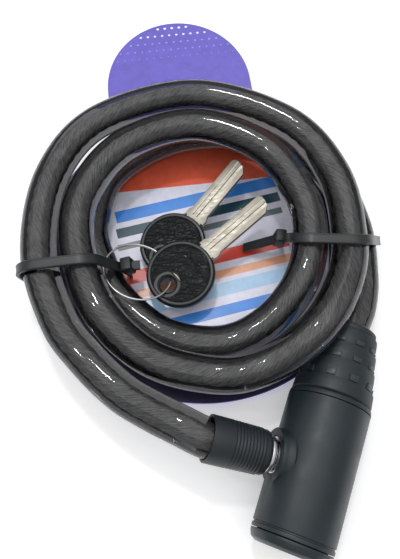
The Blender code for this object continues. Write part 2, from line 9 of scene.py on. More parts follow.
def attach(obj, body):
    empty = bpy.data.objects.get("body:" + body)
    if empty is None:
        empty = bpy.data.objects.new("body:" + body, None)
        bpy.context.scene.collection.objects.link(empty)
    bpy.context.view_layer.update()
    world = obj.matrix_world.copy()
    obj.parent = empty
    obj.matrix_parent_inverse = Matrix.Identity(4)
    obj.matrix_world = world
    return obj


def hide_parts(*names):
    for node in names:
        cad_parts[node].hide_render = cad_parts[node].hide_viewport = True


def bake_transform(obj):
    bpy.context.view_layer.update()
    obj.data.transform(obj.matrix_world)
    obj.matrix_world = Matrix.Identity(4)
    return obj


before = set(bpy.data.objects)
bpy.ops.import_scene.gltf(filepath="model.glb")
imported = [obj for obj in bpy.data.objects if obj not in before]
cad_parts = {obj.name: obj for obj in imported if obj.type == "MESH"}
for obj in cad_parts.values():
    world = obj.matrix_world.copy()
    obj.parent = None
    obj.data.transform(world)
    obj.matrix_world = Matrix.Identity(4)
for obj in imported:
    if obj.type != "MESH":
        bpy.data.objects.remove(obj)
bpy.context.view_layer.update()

# ---------------------------------------------------------------- dimensions, in mm, as in the CAD
FRAME_SHIFT = (-1.18, -1.24, -0.11)
CABLE_R, SEAM_GAP, LAY_PITCH = 6.0, 0.4, 30.0
BODY_R_END, BODY_R_BOOT, BODY_BORE_R = 12.3, 12.9, 10.7
END_Y, BOOT_Y, BOOT_TOP_Y, CAP_Y = -25.6, 18.6, 45.0, -22.0
LOCK_AT, LOCK_HEADING, LOCK_ROLL, PLUG_SKEW = (32.8, -79.6, 13.1), 70.0, 17.0, 8.0
SLEEVE_R, SLEEVE_START, SLEEVE_END = 7.0, 15.9, 34.0
CARD_Z, CARD_T, CARD_R, CARD_TILT = 1.5, 0.5, 59.5, 6.9
TAB_U, TAB_V, TAB_W, TAB_TOP = -0.8, 76.0, 30.3, 34.3
TIE_W, TIE_T, TIE_GAP = 3.6, 1.2, 0.55
LEFT_TIE = ((-61.5, -16.8), (-25.0, -12.0), -0.16)
RIGHT_TIE = ((64.5, 1.8), (28.2, 2.9), 0.49)
KEY_R, KEY_T, KEY_HOLE_BACK = 12.0, 3.6, 5.9
KEYS = (("key_1", (1.7, -5.9, 2.0), 40.0), ("key_2", (-1.0, 5.6, -2.0), 50.3))
KEY_TILT = -9.5
RING_R, RING_WIRE = 11.8, 0.5
RING_AT, RING_SLOPE = (-22.5, -16.2, 12.7), (-0.30, -0.27)
PILE_AT = (-13.7, -14.3, 9.0)
WINDOW_R = 47.0                          # the card's printed round field
COIL_AT = (-3.2, 0.3)
TURNS = [
    (-56, 59.4, 20.8), (-40, 56.5, 20.6), (-13, 53.4, 20.6), (20, 53.3, 20.6), (50, 53.8, 20.6),
    (90, 52.6, 20.6), (130, 52.7, 20.6), (160, 52.6, 20.6), (188, 52.9, 21.0),
    (207, 54.4, 23.4), (226, 56.0, 25.4), (243, 56.2, 21.8), (260, 54.5, 17.4),
    (285, 50.4, 18.2), (312, 44.9, 20.4), (345, 40.5, 20.6), (375, 39.7, 20.6),
    (410, 39.1, 20.6), (450, 38.9, 20.6), (490, 38.3, 20.6), (525, 38.6, 20.6),
    (552, 40.2, 20.4), (575, 42.2, 19.0), (597, 43.2, 14.4), (618, 42.2, 9.8),
    (645, 39.2, 8.4), (675, 36.0, 8.4), (700, 35.2, 8.4), (725, 37.4, 8.3),
    (760, 40.9, 8.3), (800, 43.2, 8.3), (838, 49.2, 8.3), (870, 56.4, 8.3),
    (895, 58.4, 8.3), (915, 60.6, 9.0), (927, 62.6, 11.2),
]
LEAD = [(-7.0, -69.4, 23.2), (-15.0, -65.4, 22.0), (-25.0, -59.4, 21.0)]


def mm(value):
    return value * 0.001


def turn_by(axis, degrees):
    return Matrix.Rotation(math.radians(degrees), 4, axis)


def shift(x, y, z):
    return Matrix.Translation((mm(x), mm(y), mm(z)))


ROOT = shift(*FRAME_SHIFT)
LOCK = ROOT @ shift(*LOCK_AT) @ turn_by("Z", LOCK_HEADING - 90) @ turn_by("Y", LOCK_ROLL)
PLUG = LOCK @ turn_by("Z", PLUG_SKEW) @ turn_by("Y", -90)
ON_LOCK_AXIS = LOCK @ turn_by("X", -90)
CARD = ROOT @ shift(0, 0, CARD_Z) @ turn_by("Z", CARD_TILT)
PILE = (ROOT @ shift(*PILE_AT)
        @ Matrix.Rotation(math.radians(KEY_TILT), 4, Vector((-1, 1, 0)).normalized()))


# ---------------------------------------------------------------- materials
def new_material(name, **values):
    """A Principled material. values are socket names with _ for a space."""
    mat = bpy.data.materials.new(name)
    mat.use_nodes = True
    shader = mat.node_tree.nodes["Principled BSDF"]
    for key, value in values.items():
        socket = shader.inputs[key.replace("_", " ")]
        socket.default_value = (*value, 1.0) if isinstance(value, tuple) else value
    return mat


class Nodes:
    """Short calls for adding nodes to a material."""

    def __init__(self, mat):
        self.tree = mat.node_tree
        self.shader = self.tree.nodes["Principled BSDF"]

    def add(self, kind, inputs=None, **settings):
        node = self.tree.nodes.new("ShaderNode" + kind)
        for key, value in settings.items():
            setattr(node, key, value)
        for key, value in (inputs or {}).items():
            if isinstance(value, bpy.types.NodeSocket):
                self.tree.links.new(value, node.inputs[key])
            else:
                node.inputs[key].default_value = value
        return node

    def position(self, scale=(1, 1, 1)):
        coords = self.add("TexCoord").outputs["Object"]
        return self.add("Mapping", {"Vector": coords, "Scale": scale}).outputs["Vector"]

    def noise(self, vector, scale, detail=4.0, roughness=0.55):
        return self.add("TexNoise", {"Vector": vector, "Scale": scale, "Detail": detail,
                                     "Roughness": roughness}).outputs["Fac"]

    def ramp(self, factor, stops):
        node = self.add("ValToRGB", {"Fac": factor})
        ramp = node.color_ramp
        while len(ramp.elements) < len(stops):
            ramp.elements.new(0.5)
        for element, (at, colour) in zip(ramp.elements, stops):
            element.position = at
            element.color = (*colour, 1) if isinstance(colour, tuple) else (colour,) * 3 + (1,)
        return node.outputs["Color"]

    def math(self, operation, a, b):
        return self.add("Math", {0: a, 1: b}, operation=operation).outputs[0]

    def bump(self, height, distance, strength=1.0, normal=None):
        inputs = {"Height": height, "Distance": distance, "Strength": strength}
        if normal:
            inputs["Normal"] = normal
        return self.add("Bump", inputs).outputs["Normal"]

    def link(self, output, socket):
        self.tree.links.new(output, self.shader.inputs[socket])


def moulded(name, dark, light, roughness, grain=0.00003, scale=900.0):
    """Moulded plastic or rubber: cloudy colour, fine grain, and uneven gloss."""
    mat = new_material(name, Roughness=roughness)
    n = Nodes(mat)
    place = n.position()
    cloud = n.noise(place, 55.0, 3.0)
    n.link(n.ramp(cloud, [(0.3, dark), (0.72, light)]), "Base Color")
    fine = n.noise(place, scale, 3.0, 0.6)
    gloss = n.ramp(n.noise(place, 130.0, 5.0), [(0.3, roughness - 0.07), (0.7, roughness + 0.1)])
    n.link(gloss, "Roughness")
    n.link(n.bump(fine, grain, 0.8), "Normal")
    return mat


def jacket_material():
    mat = new_material("smoked_jacket", Base_Color=(0.93, 0.93, 0.94), Roughness=0.03, IOR=1.5,
                       Transmission_Weight=1.0)
    n = Nodes(mat)
    smoke = n.add("VolumeAbsorption", {"Color": (0.13, 0.125, 0.13, 1), "Density": 215.0})
    n.tree.links.new(smoke.outputs["Volume"], n.tree.nodes["Material Output"].inputs["Volume"])
    wobble = n.noise(n.position(), 60.0, 2.0)
    n.link(n.bump(wobble, 0.0004, 0.25), "Normal")
    return mat


def rope_material():
    """Fine steel wires laid along each strand, a little dirty under the plastic."""
    mat = new_material("steel_rope", Metallic=0.45, Roughness=0.42)
    n = Nodes(mat)
    place = n.add("SeparateXYZ", {"Vector": n.add("UVMap", uv_map="UVMap").outputs["UV"]}).outputs
    lay = n.math("ADD", n.math("MULTIPLY", place["X"], 1000 / LAY_PITCH), place["Y"])

    def along_strand(length_scale, width_scale):
        return n.add("CombineXYZ", {"X": n.math("MULTIPLY", place["X"], length_scale),
                                    "Y": n.math("MULTIPLY", lay, width_scale)}).outputs[0]

    streak = n.noise(along_strand(260.0, 40.0), 1.0, 4.0, 0.7)
    patch = n.noise(n.position(), 90.0, 3.0)
    both = n.math("ADD", n.math("MULTIPLY", streak, 0.75), n.math("MULTIPLY", patch, 0.25))
    n.link(n.ramp(both, [(0.36, (0.13, 0.13, 0.13)), (0.5, (0.62, 0.63, 0.62)),
                         (0.62, (1.0, 1.0, 1.0))]), "Base Color")
    wires = n.add("TexWave", {"Vector": along_strand(10.0, 12.0), "Scale": 1.0,
                              "Distortion": 1.5, "Detail": 2.0},
                  wave_type="BANDS", bands_direction="Y").outputs["Fac"]
    n.link(n.bump(wires, 0.00015, 0.8, n.bump(streak, 0.0003, 0.9)), "Normal")
    return mat


def metal(name, colour, roughness, brushed=0.00002, scale=(300, 300, 300)):
    mat = new_material(name, Metallic=1.0, Roughness=roughness)
    n = Nodes(mat)
    place = n.position(scale)
    stain = n.noise(n.position(), 120.0, 5.0)
    darker = tuple(c * 0.72 for c in colour)
    n.link(n.ramp(stain, [(0.3, darker), (0.65, colour)]), "Base Color")
    grain = n.noise(place, 2.0, 4.0, 0.6)
    n.link(n.ramp(grain, [(0.3, roughness * 0.75), (0.75, min(1.0, roughness * 1.5))]),
           "Roughness")
    n.link(n.bump(grain, brushed, 0.7), "Normal")
    return mat


def leather_material():
    """The key heads' moulded grain: long soft wrinkles across the head."""
    mat = new_material("key_grain", Base_Color=(0.006, 0.007, 0.008), Roughness=0.38)
    n = Nodes(mat)
    place = n.position((330.0, 1100.0, 330.0))
    warp = n.noise(n.position(), 260.0, 3.0)
    wrinkle = n.add("TexNoise", {"Vector": place, "Scale": 1.0, "Detail": 3.0, "Roughness": 0.5,
                                 "Distortion": 1.4}).outputs["Fac"]
    folds = n.ramp(wrinkle, [(0.36, 0.0), (0.5, 1.0), (0.64, 0.0)])
    n.link(n.bump(folds, 0.00028, 1.0, n.bump(warp, 0.0002, 0.5)), "Normal")
    n.link(n.ramp(wrinkle, [(0.3, 0.32), (0.7, 0.55)]), "Roughness")
    return mat


def print_material(name, colour, spread=0.06):
    """Ink on laminated card: nearly even, with a faint mottle under a clear film."""
    mat = new_material(name, Roughness=0.32, Coat_Weight=0.25, Coat_Roughness=0.18)
    n = Nodes(mat)
    mottle = n.noise(n.position(), 240.0, 4.0)
    low = tuple(max(0.0, c * (1 - spread * 2)) for c in colour)
    high = tuple(min(1.0, c * (1 + spread)) for c in colour)
    n.link(n.ramp(mottle, [(0.3, low), (0.7, high)]), "Base Color")
    n.link(n.bump(n.noise(n.position(), 45.0, 2.0), 0.0003, 0.25), "Normal")
    return mat


JACKET = jacket_material()
ROPE = rope_material()
HOUSING = moulded("housing_plastic", (0.008, 0.015, 0.018), (0.015, 0.025, 0.029), 0.4)
CAP = moulded("cap_plastic", (0.008, 0.014, 0.017), (0.014, 0.023, 0.027), 0.36)
BOOT = moulded("boot_rubber", (0.007, 0.012, 0.015), (0.013, 0.021, 0.025), 0.48, 0.00005)
# the pads use a lighter copy of the boot rubber: a painted highlight on the ribbed bands
PAD_PAINTED_HIGHLIGHT = moulded("boot_pads", (0.018, 0.028, 0.032), (0.030, 0.042, 0.047), 0.4)
SLEEVE = moulded("sleeve_rubber", (0.008, 0.013, 0.017), (0.015, 0.022, 0.027), 0.42, 0.00005)
NYLON = moulded("tie_nylon", (0.012, 0.014, 0.016), (0.024, 0.028, 0.031), 0.34, 0.00002, 1500)
KEY_RIM = moulded("key_plastic", (0.010, 0.011, 0.012), (0.016, 0.017, 0.019), 0.3, 0.00002, 1500)
KEY_GRAIN = leather_material()
CHROME = metal("plated_steel", (0.80, 0.80, 0.81), 0.16)
NICKEL = metal("key_nickel", (0.40, 0.375, 0.32), 0.42, 0.00003, (200, 900, 200))
BRASS = metal("brass", (0.80, 0.62, 0.30), 0.28)
ZINC = metal("zinc", (0.55, 0.55, 0.57), 0.45, 0.00005)


# ---------------------------------------------------------------- mesh helpers
def finish_piece(obj, body, replaced=(), mat=None, matrix=Matrix(), angle=35):
    """Place a new piece, give it its look, and let it ride on a body."""
    if obj.name not in bpy.context.scene.collection.objects:
        bpy.context.scene.collection.objects.link(obj)
    obj.data.transform(matrix)
    if mat:
        obj.data.materials.clear()
        obj.data.materials.append(mat)
    obj.data.shade_smooth()
    obj.data.set_sharp_from_angle(angle=math.radians(angle))
    if body:
        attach(obj, body)
    if replaced:
        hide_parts(*replaced)
    return obj


def mesh_object(name, verts, faces, uvs=None):
    """uvs holds one pair per face corner, in the order of the faces."""
    mesh = bpy.data.meshes.new(name)
    mesh.from_pydata([tuple(mm(c) for c in v) for v in verts], [], faces)
    if uvs:
        layer = mesh.uv_layers.new(name="UVMap")
        for entry, uv in zip(layer.data, uvs):
            entry.uv = uv
    mesh.update()
    return bpy.data.objects.new(name, mesh)


def rounded(profile, radius, steps=3):
    """A closed profile with its corners cut to arcs of about that radius."""
    out = []
    count = len(profile)
    for i in range(count):
        before, here, after = (Vector(profile[(i + k) % count]) for k in (-1, 0, 1))
        a, b = before - here, after - here
        cut = min(radius, a.length * 0.45, b.length * 0.45)
        if cut < 0.01 or here.x < 0.01:
            out.append(tuple(here))
            continue
        start, end = here + a.normalized() * cut, here + b.normalized() * cut
        for k in range(steps + 1):
            t = k / steps
            out.append(tuple(start.lerp(here, t).lerp(here.lerp(end, t), t)))
    return out


def lathe(name, profile, steps=96):
    """A closed (radius, along) profile turned about Z. Points on the axis become single."""
    verts, rings = [], []
    for r, z in profile:
        if r < 0.001:
            rings.append([len(verts)])
            verts.append((0, 0, z))
        else:
            rings.append(list(range(len(verts), len(verts) + steps)))
            verts += [(r * math.cos(2 * math.pi * k / steps), r * math.sin(2 * math.pi * k / steps),
                       z) for k in range(steps)]
    faces = []
    for a, b in zip(rings, rings[1:] + rings[:1]):
        for k in range(steps):
            quad = [a[k % len(a)], a[(k + 1) % len(a)], b[(k + 1) % len(b)], b[k % len(b)]]
            face = [v for i, v in enumerate(quad) if v not in quad[:i]]
            if len(face) > 2:
                faces.append(face)
    obj = mesh_object(name, verts, faces)
    face_outwards(obj)
    return obj


def face_outwards(obj):
    bm = bmesh.new()
    bm.from_mesh(obj.data)
    bmesh.ops.recalc_face_normals(bm, faces=bm.faces)
    bm.to_mesh(obj.data)
    bm.free()


def apply_modifiers(obj):
    """Replace the mesh with its evaluated one."""
    if obj.name not in bpy.context.scene.collection.objects:
        bpy.context.scene.collection.objects.link(obj)
    bpy.context.view_layer.update()
    seen = obj.evaluated_get(bpy.context.evaluated_depsgraph_get())
    mesh = bpy.data.meshes.new_from_object(seen)
    obj.modifiers.clear()
    obj.data = mesh
    return obj


def combine(obj, other, operation):
    """Boolean obj with other, and drop other."""
    bpy.context.scene.collection.objects.link(other)
    mod = obj.modifiers.new("combine", "BOOLEAN")
    mod.operation = operation
    mod.solver = "EXACT"
    mod.object = other
    apply_modifiers(obj)
    bpy.data.objects.remove(other)
    return obj


def bevelled_box(name, low, high, bevel, segments=3):
    bm = bmesh.new()
    bmesh.ops.create_cube(bm, size=1)
    bmesh.ops.scale(bm, vec=[mm(b - a) for a, b in zip(low, high)], verts=bm.verts)
    bmesh.ops.translate(bm, vec=[mm((a + b) / 2) for a, b in zip(low, high)], verts=bm.verts)
    if bevel:
        bmesh.ops.bevel(bm, geom=bm.edges[:], offset=mm(bevel), segments=segments, profile=0.5,
                        affect="EDGES")
    mesh = bpy.data.meshes.new(name)
    bm.to_mesh(mesh)
    bm.free()
    return bpy.data.objects.new(name, mesh)


def plate(name, outline, low, high, bevel=0.0):
    """A flat plate between two heights from an outline in mm."""
    bm = bmesh.new()
    verts = [bm.verts.new((mm(x), mm(y), mm(low))) for x, y in outline]
    face = bm.faces.new(verts)
    grown = bmesh.ops.extrude_face_region(bm, geom=[face])
    top = [v for v in grown["geom"] if isinstance(v, bmesh.types.BMVert)]
    bmesh.ops.translate(bm, vec=(0, 0, mm(high - low)), verts=top)
    bmesh.ops.recalc_face_normals(bm, faces=bm.faces)
    if bevel:
        rims = [e for e in bm.edges if abs(e.verts[0].co.z - e.verts[1].co.z) < 1e-7]
        bmesh.ops.bevel(bm, geom=rims, offset=mm(bevel), segments=2, profile=0.5,
                        affect="EDGES", clamp_overlap=True)
    mesh = bpy.data.meshes.new(name)
    bm.to_mesh(mesh)
    bm.free()
    return bpy.data.objects.new(name, mesh)


def merge(name, objects):
    """One mesh from several new objects that have no modifiers."""
    bm = bmesh.new()
    for obj in objects:
        obj.data.transform(obj.matrix_basis)
        bm.from_mesh(obj.data)
    mesh = bpy.data.meshes.new(name)
    bm.to_mesh(mesh)
    bm.free()
    for obj in objects:
        bpy.data.objects.remove(obj)
    return bpy.data.objects.new(name, mesh)


# ---------------------------------------------------------------- cable route
def coil_point(angle, radius, height):
    a = math.radians(angle)
    return (COIL_AT[0] - radius * math.cos(a), COIL_AT[1] + radius * math.sin(a), height)


def on_axis(matrix, direction, distance):
    point = ROOT.inverted() @ matrix @ (Vector(direction) * mm(distance))
    return tuple(c / mm(1) for c in point)


def smooth_route(points, per_span):
    """Points on a Catmull-Rom curve through all of the given points."""
    ends = [tuple(2 * a - b for a, b in zip(points[0], points[1]))]
    ends.append(tuple(2 * a - b for a, b in zip(points[-1], points[-2])))
    p = [ends[0], *points, ends[1]]
    out = []
    for p0, p1, p2, p3 in zip(p, p[1:], p[2:], p[3:]):
        for k in range(per_span):
            t = k / per_span
            out.append(tuple(
                0.5 * (2 * b + (c - a) * t + (2 * a - 5 * b + 4 * c - d) * t * t
                       + (3 * b - a - 3 * c + d) * t ** 3)
                for a, b, c, d in zip(p0, p1, p2, p3)))
    out.append(tuple(points[-1]))
    return out


def cable_route():
    leaving = [on_axis(PLUG, (0, 0, 1), r) for r in (25.6, 30.0, 34.5)]
    turns = [coil_point(*turn) for turn in TURNS]
    into_boot = [on_axis(LOCK, (0, 1, 0), y) for y in (45.5, 38.0, 30.0, 20.0)]
    return smooth_route(leaving + LEAD + turns + into_boot, 9)


def seam_side(point):
    (x0, y0), (x1, y1), lean = LEFT_TIE
    across = (x1 - x0) * (point[1] - y0) - (y1 - y0) * (point[0] - x0)
    return across / math.dist((x0, y0), (x1, y1)) - lean * point[2]


def split_route():
    """The free stretch and the tied turns, parted under the left tie."""
    route = cable_route()
    last = next(i for i, p in enumerate(route) if p[0] < -40 and seam_side(p) > 0) - 1
    a, b = Vector(route[last]), Vector(route[last + 1])
    seam = a.lerp(b, seam_side(a) / (seam_side(a) - seam_side(b)))
    gap = (b - a).normalized() * SEAM_GAP / 2
    before = [p for p in route[:last + 1] if math.dist(p, seam) > 1]
    after = [p for p in route[last + 1:] if math.dist(p, seam) > 1]
    return before + [tuple(seam - gap)], [tuple(seam + gap)] + after


def even(points, step):
    """The same line with points about one step apart."""
    lengths = [0.0]
    for a, b in zip(points, points[1:]):
        lengths.append(lengths[-1] + math.dist(a, b))
    count = max(2, round(lengths[-1] / step))
    out, i = [], 0
    for k in range(count + 1):
        want = lengths[-1] * k / count
        while i < len(points) - 2 and lengths[i + 1] < want:
            i += 1
        t = (want - lengths[i]) / (lengths[i + 1] - lengths[i])
        out.append(Vector(points[i]).lerp(Vector(points[i + 1]), min(1.0, t)))
    return out


def sweep(name, points, radius_at, sides):
    """A closed tube along points. radius_at(angle, distance) in mm shapes its section."""
    tangents = [(points[min(i + 1, len(points) - 1)] - points[max(i - 1, 0)]).normalized()
                for i in range(len(points))]
    side = tangents[0].cross(Vector((0, 0, 1))).normalized()
    verts, distance = [], 0.0
    distances = []
    for i, (point, tangent) in enumerate(zip(points, tangents)):
        side = (side - tangent * side.dot(tangent)).normalized()
        up = tangent.cross(side)
        if i:
            distance += (point - points[i - 1]).length
        distances.append(distance)
        for k in range(sides):
            angle = 2 * math.pi * k / sides
            r = radius_at(angle, distance)
            verts.append(tuple(point + (side * math.cos(angle) + up * math.sin(angle)) * r))
    faces, uvs = [], []
    for i in range(len(points) - 1):
        for k in range(sides):
            j = (k + 1) % sides
            faces.append((i * sides + k, i * sides + j, (i + 1) * sides + j, (i + 1) * sides + k))
            u0, u1 = distances[i] * 0.001, distances[i + 1] * 0.001
            v0, v1 = k / sides, (k + 1) / sides
            uvs += [(u0, v0), (u0, v1), (u1, v1), (u1, v0)]
    first, last = list(range(sides)), [(len(points) - 1) * sides + k for k in range(sides)]
    faces += [first[::-1], last]
    uvs += [(0.0, k / sides) for k in first] + [(distances[-1] * 0.001, 0.5)] * sides
    return mesh_object(name, verts, faces, uvs)


def rope_section(angle, distance):
    """Six strands round a core, laid at a slow twist."""
    strands, strand_r, lay_r = 6, 0.86, 1.62
    turned = (angle + 2 * math.pi * distance / LAY_PITCH) % (2 * math.pi / strands)
    off = turned - math.pi / strands
    inside = max(0.0, strand_r ** 2 - (lay_r * math.sin(off)) ** 2)
    return lay_r * math.cos(off) + math.sqrt(inside) * 0.98


def make_cable():
    lead, coil = split_route()
    lead, coil = even(lead, 1.6), even(coil, 1.6)
    made = []
    for name, line in (("lead", lead), ("coil", coil)):
        jacket = sweep(f"jacket_{name}", line, lambda angle, distance: CABLE_R, 40)
        core = sweep(f"rope_{name}", line[1:-1], rope_section, 48)
        made.append((jacket, core))
    (lead_jacket, lead_core), (coil_jacket, coil_core) = made
    finish_piece(coil_jacket, "lock_head", ["cable_jacket_coil"], JACKET, ROOT)
    finish_piece(coil_core, "lock_head", ["steel_core_coil"], ROPE, ROOT, 80)
    finish_piece(lead_jacket, None, ["cable_jacket_lead"], JACKET, ROOT)
    finish_piece(lead_core, None, ["steel_core_lead"], ROPE, ROOT, 80)
    for piece in (lead_jacket, lead_core):
        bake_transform(piece)


# ---------------------------------------------------------------- lock
def make_boot():
    """Stepped rings with pads standing in the bands between them. The pads are coloured lighter than
    the boot rubber as a painted highlight.
    """
    rings = [(BOOT_Y, 20.0, 12.95), (20.9, 24.9, 12.5), (28.1, 31.4, 11.45),
             (34.0, 37.0, 10.6), (39.6, 42.3, 9.75)]
    outline = []
    for low, high, radius in rings:
        outline += [(radius, low), (radius - 0.25, high), (radius - 1.2, high + 0.05)]
    outline += [(8.85, 43.0), (8.75, 44.3), (7.8, BOOT_TOP_Y), (6.35, BOOT_TOP_Y)]
    inner = [(6.35, 17.95), (10.4, 17.95), (10.4, BOOT_Y)]
    boot = lathe("boot", rounded(outline + inner, 0.12))
    pads = []
    for (_, low, radius), (high, _, _) in zip(rings[1:], rings[2:] + [(45, 0, 0)]):
        if high > 44:
            continue
        middle, half, count = (low + high) / 2, (high - low) / 2 - 0.55, 10
        for k in range(count):
            angle = 360 * (k + 0.5) / count
            pad = bevelled_box("pad", (radius - 1.8, -1.4, middle - half),
                               (radius - 0.75, 1.4, middle + half), 0.15, 2)
            pad.data.transform(turn_by("Z", angle))
            pads.append(pad)
    finish_piece(boot, "lock_head", ["cable_boot"], BOOT, ON_LOCK_AXIS)
    # the pads take the lighter rubber colour, a painted highlight
    finish_piece(merge("boot_pads", pads), "lock_head", [], PAD_PAINTED_HIGHLIGHT, ON_LOCK_AXIS)


def make_housing():
    outline = [(BODY_R_BOOT, BOOT_Y - 0.25), (BODY_R_END + 0.03, -20.2),
               (BODY_R_END - 0.35, -20.35), (BODY_R_END - 0.35, -20.75),
               (BODY_R_END, -20.9), (BODY_R_END, CAP_Y), (9.6, CAP_Y), (9.6, BOOT_Y - 0.25)]
    housing = lathe("housing", rounded(outline, 0.12, 2), 128)
    finish_piece(housing, None, [], HOUSING, ON_LOCK_AXIS)
    boss = lathe("boss", rounded([(0, 9.7), (8.9, 9.7), (8.2, 11.6), (8.05, 13.3), (0, 13.3)],
                                 0.35), 96)
    boss.data.transform(PLUG)
    combine(housing, boss, "UNION")
    socket = lathe("socket", [(0, 6.0), (5.65, 6.0), (5.65, 20.0), (0, 20.0)], 64)
    socket.data.transform(PLUG)
    combine(housing, socket, "DIFFERENCE")
    bore = lathe("bore", [(0, -30), (BODY_BORE_R, -30), (BODY_BORE_R, 30), (0, 30)], 96)
    bore.data.transform(ON_LOCK_AXIS)
    combine(housing, bore, "DIFFERENCE")
    finish_piece(housing, "lock_head", ["housing_shell"], HOUSING)


def make_cap():
    outline = [(BODY_R_END - 0.05, CAP_Y - 0.25), (BODY_R_END - 0.1, END_Y + 2.6),
               (BODY_R_END - 0.7, END_Y + 0.95), (BODY_R_END - 2.2, END_Y + 0.05),
               (7.9, END_Y), (7.9, END_Y + 0.35), (7.35, END_Y + 0.35), (7.35, -18.0),
               (10.4, -18.0), (10.4, CAP_Y - 0.25)]
    finish_piece(lathe("cap", rounded(outline, 0.3)), "lock_head",
                 ["end_cap"], CAP, ON_LOCK_AXIS)


def make_plug():
    ribs_from, ribs_to, pitch = 17.6, 28.2, 1.02
    outline = [(5.9, SLEEVE_START), (6.35, SLEEVE_START + 0.1), (6.6, SLEEVE_START + 0.7)]
    for k in range(int((ribs_to - ribs_from) / pitch)):
        at = ribs_from + k * pitch
        grow = 0.022 * k
        outline += [(6.62 + grow, at), (6.62 + grow, at + 0.4),
                    (6.86 + grow * 0.8, at + 0.56), (6.86 + grow * 0.8, at + 0.86)]
    outline += [(SLEEVE_R, ribs_to), (SLEEVE_R + 0.05, SLEEVE_END), (6.25, SLEEVE_END)]
    inner = [(6.25, 25.3), (5.55, 25.3), (5.55, 17.2), (4.35, 17.2), (4.35, SLEEVE_START)]
    finish_piece(lathe("sleeve", rounded(outline + inner, 0.1, 2)), "plug_body",
                 ["plug_sleeve"], SLEEVE, PLUG)
    collar = [(5.05, 15.6), (5.45, 15.3), (5.45, 14.3), (4.9, 13.65), (4.3, 13.65), (4.3, 15.6)]
    finish_piece(lathe("collar", rounded(collar, 0.2)), "plug_body",
                 ["plug_collar"], CHROME, PLUG)
    pin = [(0, -4.6), (2.2, -4.6), (4.0, -2.6), (4.0, -1.7), (2.6, -1.7), (2.6, 1.7),
           (4.0, 1.7), (4.0, 17.0), (3.0, 17.0), (3.0, 20.2), (0, 20.2)]
    finish_piece(lathe("pin", rounded(pin, 0.2)), "plug_body", ["latch_pin"],
                 CHROME, PLUG)
    bushing = [(5.4, 13.15), (5.4, 11.5), (4.3, 11.5), (4.3, 12.7), (4.6, 13.15)]
    finish_piece(lathe("bushing", rounded(bushing, 0.15)), "lock_head",
                 ["entry_bushing"], CHROME, PLUG)


# ---------------------------------------------------------------- ties
def wrap(circles, step=4):
    """The tight loop round circles (s, z, radius), as the outermost points by direction."""
    loop = []
    for k in range(0, 360, step):
        s, z = math.cos(math.radians(k)), math.sin(math.radians(k))
        best = max(circles, key=lambda c: c[0] * s + c[1] * z + c[2])
        point = (best[0] + best[2] * s, best[1] + best[2] * z)
        if not loop or math.dist(point, loop[-1]) > 0.1 and math.dist(point, loop[0]) > 0.1:
            loop.append(point)
    return loop


def crossings(route, start, end, lean):
    run = Vector((end[0] - start[0], end[1] - start[1], 0)).normalized()
    level = Vector((-run.y, run.x, 0))
    across = level - Vector((0, 0, lean))
    found = []
    for a, b in zip(route, route[1:]):
        a, b = Vector(a) - Vector((*start, 0)), Vector(b) - Vector((*start, 0))
        before, after = a.dot(across), b.dot(across)
        if before * after > 0:
            continue
        at = a.lerp(b, before / (before - after))
        along = (b - a).normalized()
        skew = abs(lean * along.dot(run))
        slant = (CABLE_R + TIE_GAP) * (1 + skew / 2) / abs(along.dot(level))
        if -10 < at.dot(run) < 50:
            found.append((at.dot(run), at.z, slant + TIE_T / 2))
    return found


def strap(name, line, closed, width, thick, lean=0.0):
    """A flat strap along (s, z) points, s along X and the width along Y, leaning with height."""
    half, t, soft = width / 2, thick / 2, 0.28
    section = [(-half, -t + soft), (-half + soft, -t), (half - soft, -t), (half, -t + soft),
               (half, t - soft), (half - soft, t), (half - soft * 2, t), (half - soft * 2.4, t - 0.12),
               (-half + soft * 2.4, t - 0.12), (-half + soft * 2, t), (-half + soft, t),
               (-half, t - soft)]
    verts, faces, count = [], [], len(line)
    for i, point in enumerate(line):
        before = line[(i - 1) % count] if closed or i else point
        after = line[(i + 1) % count] if closed or i < count - 1 else point
        along = (Vector(after) - Vector(before)).normalized()
        out = Vector((along.y, -along.x))
        verts += [(point[0] + out.x * h, w + lean * point[1], point[1] + out.y * h)
                  for w, h in section]
    n = len(section)
    for i in range(count if closed else count - 1):
        j = (i + 1) % count
        for k in range(n):
            m = (k + 1) % n
            faces.append((i * n + k, i * n + m, j * n + m, j * n + k))
    if not closed:
        faces += [tuple(range(n))[::-1], tuple((count - 1) * n + k for k in range(n))]
    obj = mesh_object(name, verts, faces)
    face_outwards(obj)
    return obj


def make_tie(name, plane, edges, head_at, head_slope, tail):
    start, end, lean = plane
    heading = math.atan2(end[1] - start[1], end[0] - start[0])
    matrix = ROOT @ shift(*start, 0) @ Matrix.Rotation(heading, 4, "Z")
    loop = wrap(crossings(cable_route(), *plane) + edges)
    loop = [(p.x, p.y) for p in even(loop + loop[:1], 1.2)[:-1]]
    pieces = [strap("loop", loop, True, TIE_W, TIE_T, lean)]
    at = shift(head_at[0], lean * head_at[1], head_at[1]) @ turn_by("Y", head_slope)
    head = bevelled_box("head", (-2.6, -2.4, -1.9), (2.6, 2.4, 1.9), 0.45)
    window = bevelled_box("window", (-1.7, -1.5, 1.2), (1.7, 1.5, 3.0), 0.15)
    combine(head, window, "DIFFERENCE")
    pawl = bevelled_box("pawl", (-1.3, -1.2, 0.6), (0.9, 1.2, 1.45), 0.2)
    lip = bevelled_box("lip", (-2.75, -2.2, -1.5), (-2.3, 2.2, 1.5), 0.15)
    for obj in (head, pawl, lip):
        obj.data.transform(at)
    length, slope = tail
    ladder = [(0.6 * k, 0) for k in range(int(length / 0.6) + 1)]
    tail_strap = strap("tail", ladder, False, TIE_W - 0.1, TIE_T - 0.1)
    tail_strap.data.transform(at @ turn_by("Y", slope))
    pieces += [head, pawl, lip, tail_strap]
    finish_piece(merge(name, pieces), "lock_head",
                 ["cable_tie_left" if "left" in name else "cable_tie_right"], NYLON, matrix, 40)


